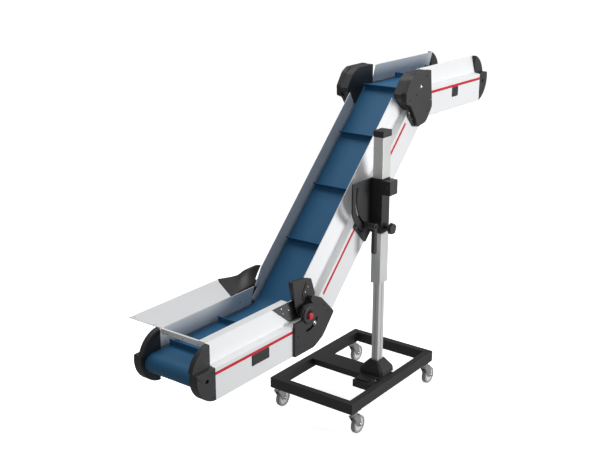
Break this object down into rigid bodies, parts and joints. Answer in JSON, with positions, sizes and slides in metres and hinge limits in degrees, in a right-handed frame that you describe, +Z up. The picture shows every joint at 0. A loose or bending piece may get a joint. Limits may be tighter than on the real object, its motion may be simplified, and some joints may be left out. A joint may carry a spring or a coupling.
{
  "type": "belt conveyor section",
  "caption": "Cleated Z belt conveyor with low loading trough, steep middle run and high discharge end, carried on a height-adjustable mast over a wheeled base.",
  "frame": {"origin": "on the floor, below the middle of the bounding box", "axes": "+Z up, +X along the conveyor from the low infeed end to the high discharge end, -Y towards the mast"},
  "size_m": [2.6844, 0.734, 1.8208],
  "materials": {
    "white_profile": "satin",
    "bed_sheet": "brushed",
    "belt": "matte",
    "drum_steel": "turned",
    "red_inlay": "gloss",
    "black_moulding": "fine grain",
    "red_knob": "gloss",
    "pin_steel": "turned",
    "black_casting": "black powder coat",
    "mast_aluminium": "anodised",
    "black_frame": "powder coat",
    "fork_zinc": "zinc plated",
    "hub_white": "satin",
    "tyre_grey": "matte"
  },
  "bodies": {
    "stand": {"base_frame": "black_frame", "cross_member": "black_frame", "base_cover": "black_moulding", "mast_inner": "mast_aluminium"},
    "mast_slide": {"mast_outer": "mast_aluminium", "mast_cap": "black_moulding"},
    "carriage": {"carriage": "black_casting", "quadrant_plate": "black_casting", "brake_block": "black_moulding"},
    "height_knob": {"height_knob": "black_moulding"},
    "incline": {"incline_side_near": "white_profile", "incline_side_far": "white_profile", "incline_bed": "bed_sheet", "incline_belt": "belt", "incline_stripes": "red_inlay", "tilt_bracket": "black_casting", "low_guard_near": "black_moulding", "low_guard_far": "black_moulding", "low_hinge_pins": "pin_steel", "high_cover_near": "black_moulding", "high_cover_far": "black_moulding"},
    "tilt_lever": {"tilt_lever": "black_moulding"},
    "low_knob": {"low_hinge_knob": "red_knob"},
    "infeed": {"infeed_side_near": "white_profile", "infeed_side_far": "white_profile", "infeed_bed": "bed_sheet", "infeed_belt": "belt", "infeed_stripes": "red_inlay", "infeed_cap_near": "black_moulding", "infeed_cap_far": "black_moulding", "infeed_plate": "black_moulding", "infeed_gusset": "black_moulding", "hopper_wing": "white_profile", "hopper_bar": "white_profile", "hopper_lip": "white_profile", "corner_guard": "black_moulding", "low_hinge_plate_near": "black_moulding", "low_hinge_plate_far": "black_moulding"},
    "tail_drum": {"tail_drum": "drum_steel"},
    "discharge": {"discharge_side_near": "white_profile", "discharge_side_far": "white_profile", "discharge_bed": "bed_sheet", "discharge_belt": "belt", "discharge_stripes": "red_inlay", "discharge_cap_near": "black_moulding", "discharge_cap_far": "black_moulding", "switch_box": "black_moulding"},
    "drive_drum": {"drive_drum": "drum_steel"},
    "caster_1": {"caster_fork_1": "fork_zinc"},
    "wheel_1": {"caster_hub_1": "hub_white", "caster_tyre_1": "tyre_grey"},
    "caster_2": {"caster_fork_2": "fork_zinc"},
    "wheel_2": {"caster_hub_2": "hub_white", "caster_tyre_2": "tyre_grey"},
    "caster_3": {"caster_fork_3": "fork_zinc"},
    "wheel_3": {"caster_hub_3": "hub_white", "caster_tyre_3": "tyre_grey"},
    "caster_4": {"caster_fork_4": "fork_zinc"},
    "wheel_4": {"caster_hub_4": "hub_white", "caster_tyre_4": "tyre_grey"}
  },
  "joints": [
    {"name": "caster_swivel_1", "type": "hinge", "parent": "stand", "child": "caster_1", "pos_m": [-0.31862, 0.159, 0.12], "axis": [0, 0, 1], "continuous": true},
    {"name": "wheel_roll_1", "type": "hinge", "parent": "caster_1", "child": "wheel_1", "pos_m": [-0.28062, 0.159, 0.05], "axis": [0, 1, 0], "continuous": true},
    {"name": "caster_swivel_2", "type": "hinge", "parent": "stand", "child": "caster_2", "pos_m": [-0.31862, -0.347, 0.12], "axis": [0, 0, 1], "continuous": true},
    {"name": "wheel_roll_2", "type": "hinge", "parent": "caster_2", "child": "wheel_2", "pos_m": [-0.28062, -0.347, 0.05], "axis": [0, 1, 0], "continuous": true},
    {"name": "caster_swivel_3", "type": "hinge", "parent": "stand", "child": "caster_3", "pos_m": [0.42338, -0.347, 0.12], "axis": [0, 0, 1], "continuous": true},
    {"name": "wheel_roll_3", "type": "hinge", "parent": "caster_3", "child": "wheel_3", "pos_m": [0.46138, -0.347, 0.05], "axis": [0, 1, 0], "continuous": true},
    {"name": "caster_swivel_4", "type": "hinge", "parent": "stand", "child": "caster_4", "pos_m": [0.42338, 0.159, 0.12], "axis": [0, 0, 1], "continuous": true},
    {"name": "wheel_roll_4", "type": "hinge", "parent": "caster_4", "child": "wheel_4", "pos_m": [0.46138, 0.159, 0.05], "axis": [0, 1, 0], "continuous": true},
    {"name": "mast_lift", "type": "slide", "parent": "stand", "child": "mast_slide", "axis": [0, 0, 1], "range_m": [-0.12, 0.25]},
    {"name": "carriage_lift", "type": "slide", "parent": "mast_slide", "child": "carriage", "axis": [0, 0, 1], "range_m": [-0.08, 0.2]},
    {"name": "height_knob_turn", "type": "hinge", "parent": "carriage", "child": "height_knob", "pos_m": [0.06438, -0.311, 1.05], "axis": [0, 1, 0], "range_deg": [-180, 180]},
    {"name": "tilt", "type": "hinge", "parent": "carriage", "child": "incline", "pos_m": [0.06438, -0.191, 1.233], "axis": [0, 1, 0], "range_deg": [-5, 45]},
    {"name": "tilt_clamp", "type": "hinge", "parent": "incline", "child": "tilt_lever", "pos_m": [-0.03176, -0.241, 1.07611], "axis": [0, 1, 0], "range_deg": [0, 110]},
    {"name": "low_knob_turn", "type": "hinge", "parent": "incline", "child": "low_knob", "pos_m": [-0.52818, -0.215, 0.72247], "axis": [0, 1, 0], "range_deg": [-180, 180]},
    {"name": "low_bend", "type": "hinge", "parent": "incline", "child": "infeed", "pos_m": [-0.52818, 0.014, 0.72247], "axis": [0, 1, 0], "range_deg": [-15, 15]},
    {"name": "high_bend", "type": "hinge", "parent": "incline", "child": "discharge", "pos_m": [0.49218, 0.014, 1.74282], "axis": [0, 1, 0], "range_deg": [-15, 15]},
    {"name": "tail_drum_turn", "type": "hinge", "parent": "infeed", "child": "tail_drum", "pos_m": [-1.27418, 0.014, 0.64517], "axis": [0, 1, 0], "continuous": true},
    {"name": "drive_drum_turn", "type": "hinge", "parent": "discharge", "child": "drive_drum", "pos_m": [1.28918, 0.014, 1.66552], "axis": [0, 1, 0], "continuous": true}
  ],
  "couplings": [
    {"joint": "tail_drum_turn", "follows": "drive_drum_turn", "ratio": 1}
  ]
}
